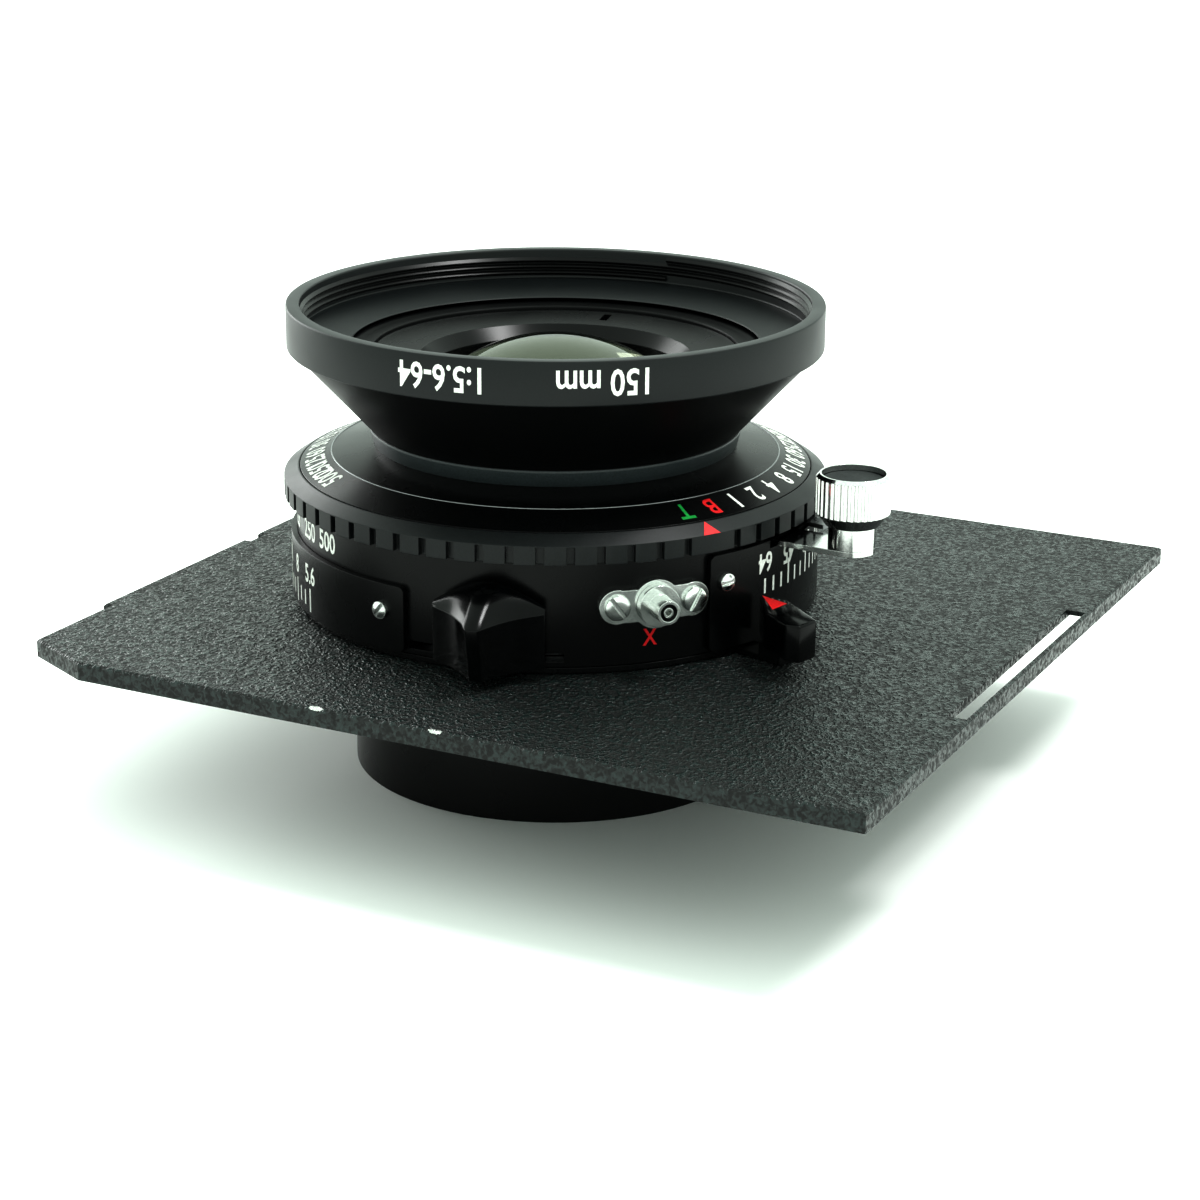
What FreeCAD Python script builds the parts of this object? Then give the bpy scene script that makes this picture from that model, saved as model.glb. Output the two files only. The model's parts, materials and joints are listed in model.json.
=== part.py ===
# A large-format lens in a leaf shutter on a flat lens board.
# Millimetres, +Z up the lens axis towards the front glass, origin on the axis at the rear barrel's end.
import FreeCAD, Part
import math
import os
import Sketcher

Vector = FreeCAD.Vector
doc = FreeCAD.newDocument("ShutterLens")
sheet = doc.addObject("Spreadsheet::Sheet", "Sizes")

# ---- driving dimensions: radii and heights from the rear barrel's end, angles in degrees from +X ----
size = {
    # lens board
    "boardLow": 17.5, "boardTop": 19.5, "boardLeft": -46.6, "boardWide": 96, "boardNear": -57.3,
    "boardDeep": 99, "boardHole": 17.3, "boardBevel": 0.25, "boardSkin": 18.5, "rimWide": 1.2,
    "cornerCutWide": 4.2, "cornerCutDeep": 8.6,
    "tabLeft": -29, "tabLong": 28.5, "tabOut": 0.9, "slotLeft": -18.3, "slotLong": 39, "slotNear": -56.9,
    "slotWide": 2.2, "slotSkin": 19.2, "slotRelief": 1.3, "secondTabLeft": 2.6, "pinHole": 1.2,
    "pinAt": 19.3, "pinRadius": 1,
    # shutter case and its fixed plates
    "tubeEnd": 14, "tubeRadius": 16.25, "cellBore": 14.9, "bossRadius": 22, "caseLow": 20.35,
    "caseRadius": 29.4, "ledgeTop": 31.8, "lipRadius": 28.5, "lipTop": 33.45, "caseBore": 27.6,
    "floorTop": 20.9, "ringOuter": 19.8, "ringLow": 16.3, "ringTop": 18.5, "ringGap": 0.05,
    "spannerWide": 3, "spannerLong": 1.5, "spannerTop": 17.5, "plateBore": 12.7,
    "irisPlateLow": 22.1, "irisPlateTop": 22.5, "shutterPlateLow": 24.5, "shutterPlateTop": 25.2,
    "hubRadius": 16.2, "coverLow": 35.4, "coverRadius": 25.4, "coverEdge": 36.6, "coverRise": 37.7,
    "neckFoot": 20.5, "neckRadius": 20.95, "neckTop": 39.55, "scaleLow": 34.3, "scaleRadius": 28.95,
    "scaleEdge": 35.1,
    # speed ring
    "speedBore": 29.05, "speedRadius": 30.78, "speedLow": 32, "speedWall": 34.05, "speedTop": 35.05,
    "speedCrown": 29.2, "camBore": 17, "camLow": 33.55, "camTop": 34.15, "notchPitch": 6,
    "notchWide": 0.9, "notchDeep": 0.7, "notchCount": 29, "indexAngle": -119.3, "camSlotInner": 20,
    "camSlotOuter": 22, "camSlotSpan": 70,
    # aperture ring, its lever and scale plates
    "controlBore": 22.1, "controlLow": 19.65, "controlTop": 20.25, "leverAngle": -108.3,
    "leverReach": 36, "leverWide": 3, "tipLow": 21.7, "tipTop": 25.8, "tipApex": 30.4,
    "tipShoulder": 34, "tipNose": 39.2, "tipEnd": 41.2, "tipWide": 4.4, "tipNarrow": 2.42,
    "plateInner": 29.45, "plateOuter": 30.1, "plateLow": 20.5, "plateCorner": 0.7, "rightTop": 31.3,
    "rightStart": -118.95, "rightSpan": 88.55, "leftTop": 27.8, "leftStart": 65.8, "leftSpan": 109.4,
    "screwRadius": 0.98, "screwOut": 0.7, "rightScrewHeight": 28.2, "leftScrewHeight": 24.85,
    "screwInset": 3.9, "leftScrewInset": 5.7,
    # blades
    "irisPivot": 17.5, "irisInner": 12.4, "irisOuter": 21, "irisSpan": 125, "irisTurn": 37,
    "irisLow": 21, "shutPivot": 17.5, "shutInner": 12.8, "shutOuter": 21.6, "shutSpan": 112,
    "shutTurn": 47, "shutLow": 22.7, "bladeThick": 0.12, "bladeStep": 0.2, "pivotRadius": 2,
    "pivotBore": 0.6, "driveBore": 15.5, "driveRadius": 22, "driveLow": 23.8, "driveTop": 24.3,
    # cocking lever
    "cockBore": 24.5, "cockOuter": 27.3, "cockLow": 21.05, "cockTop": 21.75, "cockAngle": -160.3,
    "cockWide": 3, "capInner": 30.9, "capLow": 20.9, "capTop": 27, "roofTop": 30.2,
    "roofFoot": 6.3, "roofPeak": 3.5, "noseAngle": -165.4, "noseReach": 38, "noseWide": 1,
    "capCorner": 31.6, "capHalf": 11.2, "hollowReach": 33.7, "hollowHalf": 4.7,
    "slotLow": 20.95, "slotTop": 21.85, "cockSlotStart": -184.5, "cockSlotSpan": 34,
    # sync socket
    "syncAngle": -131.4, "syncHeight": 27, "syncInner": 29.42, "syncOuter": 30.1, "syncPitch": 4.37,
    "lobeRadius": 1.9, "webWide": 3.6, "syncScrew": 1.41, "syncHead": 0.5, "collarOut": 31,
    "syncBarrel": 1.3, "syncEnd": 33.4, "syncBase": 2.3, "insulatorRadius": 0.95,
    "contactRadius": 0.55, "contactBore": 0.3,
    # cable socket, its bracket and the release lever
    "socketAt": 37.84, "socketAngle": -94.85, "bracketLow": 30.5, "bracketTop": 31.1, "postRadius": 1.2,
    "postAt": 24.5, "stemRadius": 2.56, "stemTop": 33.5, "coreRadius": 2.3, "coreTop": 38,
    "insertRadius": 3.35, "insertTop": 38.6, "collarLow": 33.6, "collarFoot": 34.85, "collarShoulder": 38.85,
    "collarTop": 39.25, "collarRadius": 4.06, "collarRim": 3.7, "collarBore": 2.7, "collarRecess": 3.45,
    "recessLow": 36.5, "undercut": 2.95, "fluteRadius": 0.26, "fluteCount": 34, "releasePivot": 23.5,
    "releaseAngle": -80, "releaseReach": 10.2, "releaseTurn": -24, "releaseLow": 31.2,
    "releaseTop": 31.7, "releaseWide": 2, "bracketSlotStart": -101.8, "bracketSlotSpan": 24,
    # front cell
    "hoodRadius": 29.5, "hoodTop": 48.8, "rimRadius": 30.15, "rimTop": 53.6, "threadRadius": 28.6,
    "threadLow": 50.1, "funnelRadius": 28.1, "funnelFoot": 22, "funnelLow": 48.3, "seatRadius": 20.5,
    "seatLow": 46, "hoodBore": 18, "threadEnd": 30, "cellThread": 14.75, "cellRadius": 17.95,
    "cellFlange": 45.3, "glassBore": 14.65, "glassSeat": 41, "throat": 13.2, "innerSeat": 38.5,
    "innerBore": 12.6, "innerLow": 33, "innerThroat": 11.8, "keeperOuter": 20.45, "keeperTop": 47.95,
    "keeperInner": 15.3, "keeperLip": 47.4, "keeperFoot": 43.7, "keeperTube": 14.55, "keeperBore": 14,
    "keeperNotchAt": 9, "keeperNotchDeep": 1.2, "keeperNotchInner": 17.2, "keeperNotchOuter": 19.4,
    "frontGlass": 14.6, "frontDome": 20, "frontApex": 49.45, "middleGlass": 12.5, "middleDome": 34,
    "middleApex": 39.6,
    # rear cell
    "barrelRadius": 23.15, "barrelEdge": 22.5, "barrelSide": 12.9, "barrelTop": 13.6, "rearThreadEnd": 20.5,
    "rearGlassBore": 19, "rearSeat": 9, "rearThroat": 12.5, "rearKeeper": 17, "rearKeeperLow": 0.8,
    "rearKeeperTop": 2.9, "rearGlass": 18.9, "rearDome": 62, "rearApex": 0.9, "rearInner": 12.4,
    "rearInnerLow": 14.6, "rearInnerDome": 40, "rearInnerApex": 20,
}
for row, (name, amount) in enumerate(size.items(), start=1):
    sheet.set("A%d" % row, str(amount))
    sheet.setAlias("A%d" % row, name)
doc.recompute()

BLADES = 5
subParts = []


def amount(text):
    """A length written as sheet names and numbers joined by + or -."""
    total, sign = 0.0, 1
    for word in text.split():
        if word in "+-":
            sign = 1 if word == "+" else -1
        else:
            total += sign * (size[word] if word in size else float(word))
    return total


def bound(text):
    """The same length as an expression on the sheet."""
    return " ".join("Sizes." + word if word in size else word for word in text.split())


def sector(radius, angle, height=0.0):
    """A point at a radius and an angle in degrees."""
    turn = math.radians(angle)
    return Vector(radius * math.cos(turn), radius * math.sin(turn), height)


def keep(label, item):
    """Name an object as a finished sub-part."""
    item.Label = label
    subParts.append(item)
    return item


def plane(body, role):
    """An origin plane of a body."""
    return next(feature for feature in body.Origin.OriginFeatures if feature.Role == role)


def newSketch(body, role, name):
    sketch = body.newObject("Sketcher::SketchObject", name)
    sketch.AttachmentSupport = [(plane(body, role), "")]
    sketch.MapMode = "FlatFace"
    return sketch


def loop(sketch, points):
    """A closed outline of straight lines; each corner's x and y are bound to the sheet."""
    corners = [Vector(amount(x), amount(y), 0) for x, y in points]
    count = len(corners)
    for i in range(count):
        sketch.addGeometry(Part.LineSegment(corners[i], corners[(i + 1) % count]), False)
    for i in range(count):
        sketch.addConstraint(Sketcher.Constraint("Coincident", i, 2, (i + 1) % count, 1))
    for i, (x, y) in enumerate(points):
        for kind, text in (("DistanceX", x), ("DistanceY", y)):
            spot = sketch.addConstraint(Sketcher.Constraint(kind, -1, 1, i, 1, amount(text)))
            sketch.setExpression("Constraints[%d]" % spot, bound(text))


def turned(label, outline):
    """A body turned about the lens axis from an outline of radius and height."""
    body = doc.addObject("PartDesign::Body", label)
    sketch = newSketch(body, "XZ_Plane", label + "_outline")
    loop(sketch, outline)
    spin = body.newObject("PartDesign::Revolution", label + "_turn")
    spin.Profile = sketch
    spin.ReferenceAxis = (sketch, ["V_Axis"])
    spin.Angle = 360
    sketch.Visibility = False
    return body


def rod(label, radius, low, high, place=Vector(0, 0, 0)):
    """An upright cylinder between two heights, at a place."""
    item = doc.addObject("Part::Cylinder", label)
    item.setExpression("Radius", bound(radius))
    item.setExpression("Height", "(%s) - (%s)" % (bound(high), bound(low)))
    item.Placement.Base = Vector(place.x, place.y, amount(low))
    item.setExpression("Placement.Base.z", bound(low))
    return item


def wedge(label, inner, outer, low, high, start, span):
    """A sector of a ring, from an angle and over a span."""
    solid = rod(label + "_outer", outer, low, high)
    core = rod(label + "_core", inner, low, high)
    solid.setExpression("Angle", bound(span))
    turn = FreeCAD.Rotation(Vector(0, 0, 1), amount(start))
    solid.Placement = FreeCAD.Placement(Vector(0, 0, amount(low)), turn)
    return cut(label, solid, core)


def radialRod(label, radius, inner, outer, angle, height, aside=0.0):
    """A cylinder that points away from the axis, between two radii."""
    item = doc.addObject("Part::Cylinder", label)
    item.setExpression("Radius", bound(radius))
    item.setExpression("Height", "(%s) - (%s)" % (bound(outer), bound(inner)))
    turn = FreeCAD.Rotation(Vector(0, 0, 1), sector(1, angle))
    place = sector(amount(inner), angle, height) + sector(aside, angle + 90)
    item.Placement = FreeCAD.Placement(place, turn)
    return item


def bar(label, inner, outer, wide, low, high, angle):
    """A straight bar that points away from the axis, between two radii."""
    item = doc.addObject("Part::Box", label)
    item.setExpression("Length", "(%s) - (%s)" % (bound(outer), bound(inner)))
    item.setExpression("Width", bound(wide))
    item.setExpression("Height", "(%s) - (%s)" % (bound(high), bound(low)))
    place = sector(amount(inner), angle, amount(low)) - sector(amount(wide) / 2, angle + 90)
    item.Placement = FreeCAD.Placement(place, FreeCAD.Rotation(Vector(0, 0, 1), angle))
    return item


def cut(label, base, *tools):
    for number, tool in enumerate(tools):
        result = doc.addObject("Part::Cut", label + "_cut%d" % number)
        result.Base, result.Tool = base, tool
        base = result
    return base


def fuse(label, *items):
    result = doc.addObject("Part::MultiFuse", label + "_whole")
    result.Shapes = list(items)
    return result


def common(label, first, second):
    result = doc.addObject("Part::Common", label + "_common")
    result.Base, result.Tool = first, second
    return result


def dome(label, radius, apex, curve, low, up=1):
    """A glass of one curved face: a cylinder met by a ball that peaks at the apex."""
    ball = doc.addObject("Part::Sphere", label + "_ball")
    ball.setExpression("Radius", bound(curve))
    ball.Placement.Base = Vector(0, 0, amount(apex) - up * amount(curve))
    blank = rod(label + "_blank", radius, *((low, apex) if up > 0 else (apex, low)))
    return common(label, blank, ball)


def rounded(label, base, radius):
    """Round the corners at both ends of a curved plate, at their edges that point away from the axis."""
    doc.recompute()
    corners = []
    for number, edge in enumerate(base.Shape.Edges, start=1):
        ends = [vertex.Point for vertex in edge.Vertexes]
        flat = len(ends) == 2 and abs(ends[0].z - ends[1].z) < 0.001
        if flat and edge.Length < size["plateOuter"] - size["plateInner"] + 0.01:
            corners.append((number, size[radius], size[radius]))
    result = doc.addObject("Part::Fillet", label + "_rounded")
    result.Base = base
    result.Edges = corners
    return result


def pattern(body, name, feature, count, span):
    """Repeat a cut about the body's Z axis."""
    ring = body.newObject("PartDesign::PolarPattern", name)
    ring.Originals = [feature]
    ring.Axis = (plane(body, "Z_Axis"), [""])
    ring.Occurrences = count
    ring.Angle = span
    body.Tip = ring
    return ring


def pocket(body, name, sketch, depth, reverse):
    """Cut a sketch both ways through a body or, reversed, from its plane upwards."""
    hole = body.newObject("PartDesign::Pocket", name)
    hole.Profile = sketch
    hole.Length = depth
    hole.Midplane = not reverse
    hole.Reversed = reverse
    sketch.Visibility = False
    return hole


# ---- lens board ----
def lensBoard():
    body = doc.addObject("PartDesign::Body", "lens_board")
    sketch = newSketch(body, "XY_Plane", "board_outline")
    right, far = "boardLeft + boardWide", "boardNear + boardDeep"
    loop(sketch, [
        ("boardLeft", "boardNear"), (right, "boardNear"), (right, far),
        ("secondTabLeft + tabLong", far), ("secondTabLeft + tabLong", far + " + tabOut"),
        ("secondTabLeft", far + " + tabOut"), ("secondTabLeft", far),
        ("tabLeft + tabLong", far), ("tabLeft + tabLong", far + " + tabOut"),
        ("tabLeft", far + " + tabOut"), ("tabLeft", far),
        ("boardLeft + cornerCutWide", far), ("boardLeft", far + " - cornerCutDeep")])
    slab = body.newObject("PartDesign::Pad", "board_slab")
    slab.Profile = sketch
    slab.setExpression("Length", "Sizes.boardTop - Sizes.boardLow")
    body.Placement.Base = Vector(0, 0, size["boardLow"])
    doc.recompute()
    top = size["boardTop"] - size["boardLow"]
    rim = ["Edge%d" % (i + 1) for i, edge in enumerate(slab.Shape.Edges)
           if edge.BoundBox.ZMin > top - 0.01]
    bevel = body.newObject("PartDesign::Chamfer", "board_bevel")
    bevel.Base = (slab, rim)
    bevel.setExpression("Size", "Sizes.boardBevel")
    doc.recompute()
    holes = newSketch(body, "XY_Plane", "board_holes")
    circles = (("boardHole", "0"), ("pinHole", "pinAt"))
    for i, (radius, y) in enumerate(circles):
        holes.addGeometry(Part.Circle(Vector(0, amount(y), 0), Vector(0, 0, 1), amount(radius)), False)
        spot = holes.addConstraint(Sketcher.Constraint("Radius", i, amount(radius)))
        holes.setExpression("Constraints[%d]" % spot, bound(radius))
    slot = newSketch(body, "XY_Plane", "board_slot")
    slotFar, slotEnd = "slotNear + slotWide", "slotLeft + slotLong"
    loop(slot, [("slotLeft", "slotNear"), (slotEnd, "slotNear"), (slotEnd, slotFar), ("slotLeft", slotFar)])
    for name, drawing in (("board_bores", holes), ("board_window", slot)):
        body.Tip = pocket(body, name, drawing, 3 * top, False)
        doc.recompute()
    hollow = newSketch(body, "XY_Plane", "board_hollow")
    left, near = "boardLeft + rimWide", "boardNear + rimWide"
    right, far = right + " - rimWide", far + " - rimWide"
    loop(hollow, [
        (left, near), (right, near), (right, far), ("boardLeft + rimWide + cornerCutWide", far),
        (left, far + " - cornerCutDeep")])
    body.Tip = pocket(body, "board_underside", hollow, size["boardSkin"] - size["boardLow"], True)
    doc.recompute()
    relief = newSketch(body, "XY_Plane", "slot_relief")
    reliefEnd = slotEnd + " + slotRelief"
    loop(relief, [
        ("slotLeft", "slotNear"), (reliefEnd, "slotNear"), (reliefEnd, slotFar), ("slotLeft", slotFar)])
    body.Tip = pocket(body, "slot_thinning", relief, size["slotSkin"] - size["boardLow"], True)
    doc.recompute()
    return body


keep("lens_board", lensBoard())
ring = rod("retaining_blank", "ringOuter", "ringLow", "ringTop")
ringBore = rod("retaining_bore", "tubeRadius + ringGap", "ringLow", "ringTop")
ringNotches = [bar("retaining_notch_%d" % turn, "ringOuter - spannerLong", "ringOuter + 1", "spannerWide",
                   "ringLow", "spannerTop", turn) for turn in (0, 180)]
keep("shutter_retaining_ring", cut("retaining", ring, ringBore, *ringNotches))
pinPlace = Vector(0, size["pinAt"], 0)
keep("locating_screw", rod("locating_screw", "pinRadius", "ringTop", "boardTop", pinPlace))


# ---- shutter case and its fixed plates ----
case = turned("case_shell", [
    ("cellBore", "tubeEnd"), ("tubeRadius", "tubeEnd"), ("tubeRadius", "boardTop"),
    ("bossRadius", "boardTop"), ("bossRadius", "caseLow"), ("caseRadius", "caseLow"),
    ("caseRadius", "ledgeTop"), ("lipRadius", "ledgeTop"), ("lipRadius", "lipTop"),
    ("caseBore", "lipTop"), ("caseBore", "floorTop"), ("cellBore", "floorTop")])
cockSlot = wedge("cock_slot", "caseBore - 1", "caseRadius + 1", "slotLow", "slotTop",
                 "cockSlotStart", "cockSlotSpan")
bracketSlot = wedge("bracket_slot", "caseBore - 1", "caseRadius + 2", "bracketLow - 0.1", "ledgeTop",
                    "bracketSlotStart", "bracketSlotSpan")
keep("shutter_housing", cut("housing", case, cockSlot, bracketSlot))
keep("iris_plate", turned("iris_plate", [
    ("plateBore", "irisPlateLow"), ("caseBore", "irisPlateLow"), ("caseBore", "irisPlateTop"),
    ("plateBore", "irisPlateTop")]))
keep("shutter_plate", turned("shutter_plate", [
    ("plateBore", "shutterPlateLow"), ("caseBore", "shutterPlateLow"), ("caseBore", "shutterPlateTop"),
    ("plateBore", "shutterPlateTop")]))
keep("front_cover_plate", turned("front_cover_plate", [
    ("cellBore", "shutterPlateTop"), ("hubRadius", "shutterPlateTop"), ("hubRadius", "coverLow"),
    ("coverRadius", "coverLow"), ("coverRadius", "coverEdge"), ("neckFoot", "coverRise"),
    ("neckRadius", "neckTop - 0.3"), ("neckRadius", "neckTop"), ("cellBore", "neckTop")]))
keep("speed_scale_ring", turned("speed_scale_ring", [
    ("coverRadius", "scaleLow"), ("scaleRadius", "scaleLow"), ("scaleRadius", "scaleEdge"),
    ("coverRadius", "coverEdge")]))


# ---- speed ring with its cam ----
def speedRing():
    body = turned("speed_ring", [
        ("speedBore", "speedLow"), ("speedRadius", "speedLow"), ("speedRadius", "speedWall"),
        ("speedCrown", "speedTop"), ("speedBore", "speedTop")])
    doc.recompute()
    sketch = newSketch(body, "XY_Plane", "notch_outline")
    sketch.AttachmentOffset = FreeCAD.Placement(Vector(0, 0, size["speedWall"] - 0.1), FreeCAD.Rotation())
    outer, half = size["speedRadius"] + 0.5, size["notchWide"] / 2
    for side, turn in enumerate((0, 180)):
        middle = size["indexAngle"] + size["notchPitch"] + turn
        inner = size["speedRadius"] - size["notchDeep"]
        across = sector(half, middle + 90)
        corners = [sector(inner, middle) - across, sector(outer, middle) - across,
                   sector(outer, middle) + across, sector(inner, middle) + across]
        for i in range(4):
            sketch.addGeometry(Part.LineSegment(corners[i], corners[(i + 1) % 4]), False)
            sketch.addConstraint(Sketcher.Constraint("Block", 4 * side + i))
    teeth = body.newObject("PartDesign::Pocket", "notch_pair")
    teeth.Profile = sketch
    teeth.setExpression("Length", "Sizes.speedWall - Sizes.speedLow")
    doc.recompute()
    count = size["notchCount"]
    pattern(body, "notch_ring", teeth, count, (count - 1) * size["notchPitch"])
    return body


keep("speed_ring", speedRing())
cam = turned("cam_blank", [
    ("camBore", "camLow"), ("speedBore", "camLow"), ("speedBore", "camTop"), ("camBore", "camTop")])
camSlots = [wedge("cam_slot_%d" % turn, "camSlotInner", "camSlotOuter", "camLow", "camTop",
                  str(turn), "camSlotSpan") for turn in (0, 120, 240)]
keep("speed_cam", cut("speed_cam", cam, *camSlots))

# ---- aperture control ring, lever and scale plates ----
leverAngle = size["leverAngle"]
control = turned("control_blank", [
    ("controlBore", "controlLow"), ("caseRadius", "controlLow"), ("caseRadius", "controlTop"),
    ("controlBore", "controlTop")])
arm = bar("lever_arm", "caseRadius - 1", "leverReach", "leverWide", "controlLow", "controlTop", leverAngle)
riser = bar("lever_riser", "leverReach - 3", "leverReach", "leverWide", "controlTop", "tipLow", leverAngle)
keep("aperture_ring", fuse("aperture_ring", control, arm, riser))


def leverTip():
    body = doc.addObject("PartDesign::Body", "aperture_lever_tip")
    sketch = newSketch(body, "XY_Plane", "tip_outline")
    half, narrow = size["tipWide"] / 2, size["tipNarrow"] / 2
    apex, shoulder, nose, end = (size[name] for name in ("tipApex", "tipShoulder", "tipNose", "tipEnd"))
    corners = [Vector(apex, narrow, 0), Vector(shoulder, -half, 0), Vector(nose, -half, 0),
               Vector(end, -narrow, 0), Vector(end, narrow, 0), Vector(nose, half, 0),
               Vector(shoulder, half, 0)]
    for i in range(len(corners)):
        sketch.addGeometry(Part.LineSegment(corners[i], corners[(i + 1) % len(corners)]), False)
        sketch.addConstraint(Sketcher.Constraint("Block", i))
    slab = body.newObject("PartDesign::Pad", "tip_slab")
    slab.Profile = sketch
    slab.setExpression("Length", "Sizes.tipTop - Sizes.tipLow")
    body.Placement = FreeCAD.Placement(Vector(0, 0, size["tipLow"]),
                                       FreeCAD.Rotation(Vector(0, 0, 1), leverAngle))
    return body


keep("aperture_lever_tip", leverTip())
rightPlate = wedge("right_plate", "plateInner", "plateOuter", "plateLow", "rightTop",
                   "rightStart", "rightSpan")
rightPlate = rounded("right_plate", rightPlate, "plateCorner")
plateGap = wedge("plate_gap", "plateInner - 1", "plateOuter + 1", "bracketLow - 0.1", "rightTop + 1",
                 "bracketSlotStart", "bracketSlotSpan")
keep("aperture_scale_plate_right", cut("scale_right", rightPlate, plateGap))
leftPlate = wedge("left_plate", "plateInner", "plateOuter", "plateLow", "leftTop", "leftStart", "leftSpan")
keep("aperture_scale_plate_left", rounded("left_plate", leftPlate, "plateCorner"))
plateScrews = (
    ("rightStart + screwInset", "rightScrewHeight"),
    ("rightStart + rightSpan - screwInset", "rightScrewHeight"),
    ("leftStart + leftSpan - leftScrewInset", "leftScrewHeight"),
    ("leftStart + leftScrewInset", "leftScrewHeight"))
for number, (angle, height) in enumerate(plateScrews, start=1):
    name = "plate_screw_%d" % number
    place = (amount(angle), size[height])
    keep(name, radialRod(name, "screwRadius", "plateOuter", "plateOuter + screwOut", *place))


# ---- iris and shutter blades: each a curved leaf on its own level, on a pivot near the rim ----
def blade(label, pivot, inner, outer, low, span, turn, number):
    level = "%s + %s" % (low, " + ".join(["bladeStep"] * number)) if number else low
    leaf = wedge(label, inner, outer, level, level + " + bladeThick", "0", span)
    ear = rod(label + "_ear", "pivotRadius", level, level + " + bladeThick", Vector(size[pivot], 0, 0))
    leaf = fuse(label, leaf, ear)
    bore = rod(label + "_bore", "pivotBore", level, level + " + bladeThick", Vector(size[pivot], 0, 0))
    leaf = cut(label, leaf, bore)
    around = FreeCAD.Rotation(Vector(0, 0, 1), 360.0 / BLADES * number)
    swing = FreeCAD.Rotation(Vector(0, 0, 1), size[turn])
    hinge = Vector(size[pivot], 0, 0)
    closed = FreeCAD.Placement(hinge - swing.multVec(hinge), swing)
    leaf.Placement = FreeCAD.Placement(Vector(0, 0, 0), around).multiply(closed)
    return keep(label, leaf)


for number in range(BLADES):
    blade("iris_blade_%d" % (number + 1), "irisPivot", "irisInner", "irisOuter", "irisLow",
          "irisSpan", "irisTurn", number)
    blade("shutter_blade_%d" % (number + 1), "shutPivot", "shutInner", "shutOuter", "shutLow",
          "shutSpan", "shutTurn", number)
keep("blade_drive_ring", turned("blade_drive_ring", [
    ("driveBore", "driveLow"), ("driveRadius", "driveLow"), ("driveRadius", "driveTop"),
    ("driveBore", "driveTop")]))

# ---- cocking lever ----
cockAngle = size["cockAngle"]
cockRing = turned("cock_blank", [
    ("cockBore", "cockLow"), ("cockOuter", "cockLow"), ("cockOuter", "cockTop"), ("cockBore", "cockTop")])
cockArm = bar("cock_arm", "cockOuter - 1", "capInner + 0.3", "cockWide", "cockLow", "cockTop", cockAngle)
cockTrim = rod("cock_trim", "capInner", "cockLow", "cockTop")
keep("cocking_lever", common("cocking_lever", fuse("cock_lever", cockRing, cockArm), cockTrim))


def cockingCap():
    body = doc.addObject("PartDesign::Body", "cocking_cap_block")
    sketch = newSketch(body, "XY_Plane", "cap_outline")
    nose, half = size["noseAngle"], size["capHalf"]
    left, right = sector(size["capCorner"], nose - half), sector(size["capCorner"], nose + half)
    tip = sector(size["noseReach"], nose)
    side = sector(size["noseWide"] / 2, nose + 90)
    back = sector(size["capInner"] - 3, nose)
    leftHollow = sector(size["hollowReach"], nose - size["hollowHalf"])
    rightHollow = sector(size["hollowReach"], nose + size["hollowHalf"])
    sketch.addGeometry(Part.Arc(left, leftHollow, tip - side), False)
    sketch.addGeometry(Part.LineSegment(tip - side, tip + side), False)
    sketch.addGeometry(Part.Arc(tip + side, rightHollow, right), False)
    sketch.addGeometry(Part.LineSegment(right, back), False)
    sketch.addGeometry(Part.LineSegment(back, left), False)
    for i in range(5):
        sketch.addConstraint(Sketcher.Constraint("Block", i))
    slab = body.newObject("PartDesign::Pad", "cap_slab")
    slab.Profile = sketch
    slab.setExpression("Length", "Sizes.roofTop - Sizes.capLow")
    body.Placement.Base = Vector(0, 0, size["capLow"])
    return body


roof = doc.addObject("Part::Cone", "cap_roof")
roof.setExpression("Radius1", "Sizes.roofFoot")
roof.setExpression("Radius2", "Sizes.roofPeak")
roof.setExpression("Height", "Sizes.roofTop - Sizes.capTop")
roof.Placement.Base = sector(size["capInner"], size["noseAngle"], size["capTop"])
capLimit = fuse("cap_limit", rod("cap_reach", "noseReach + 1", "capLow", "capTop"), roof)
capTrim = rod("cap_trim", "capInner", "capLow - 1", "roofTop + 1")
keep("cocking_lever_cap", cut("cap", common("cap", cockingCap(), capLimit), capTrim))

# ---- sync socket on the case's side ----
syncAngle, syncHeight, pitch = size["syncAngle"], size["syncHeight"], size["syncPitch"]
lobeSizes = (("lobeRadius", -pitch), ("syncBase + 0.4", 0), ("lobeRadius", pitch))
lobes = [radialRod("sync_lobe_%d" % i, radius, "syncInner - 3", "syncOuter + 3", syncAngle,
                   syncHeight, aside) for i, (radius, aside) in enumerate(lobeSizes)]
web = bar("sync_web", "syncInner - 3", "syncOuter + 3", "syncPitch + syncPitch", "syncHeight - webWide",
          "syncHeight", syncAngle)
web.Placement.Base.z += size["webWide"] / 2
shell = cut("sync_shell", rod("sync_shell_outer", "syncOuter", "syncHeight - 4", "syncHeight + 4"),
            rod("sync_shell_core", "syncInner", "syncHeight - 4", "syncHeight + 4"))
keep("sync_plate", common("sync_plate", shell, fuse("sync_lobes", web, *lobes)))
for number, side in enumerate((-1, 1), start=1):
    tilt = syncAngle + side * math.degrees(pitch / size["syncOuter"])
    head = radialRod("sync_head_%d" % number, "syncScrew", "syncOuter", "syncOuter + syncHead",
                     tilt, syncHeight)
    slit = bar("sync_slit_%d" % number, "syncOuter + 0.2", "syncOuter + 2", "contactBore",
               "syncHeight - 2", "syncHeight + 2", tilt)
    keep("sync_screw_%d" % number, cut("sync_screw_%d" % number, head, slit))
base = radialRod("sync_foot", "syncBase", "syncOuter", "collarOut", syncAngle, syncHeight)
snout = radialRod("sync_snout", "syncBarrel", "collarOut", "syncEnd", syncAngle, syncHeight)
syncBore = radialRod("sync_bore", "insulatorRadius", "collarOut - 0.4", "syncEnd + 1", syncAngle, syncHeight)
keep("sync_barrel", cut("sync_barrel", fuse("sync_metal", base, snout), syncBore))
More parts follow.
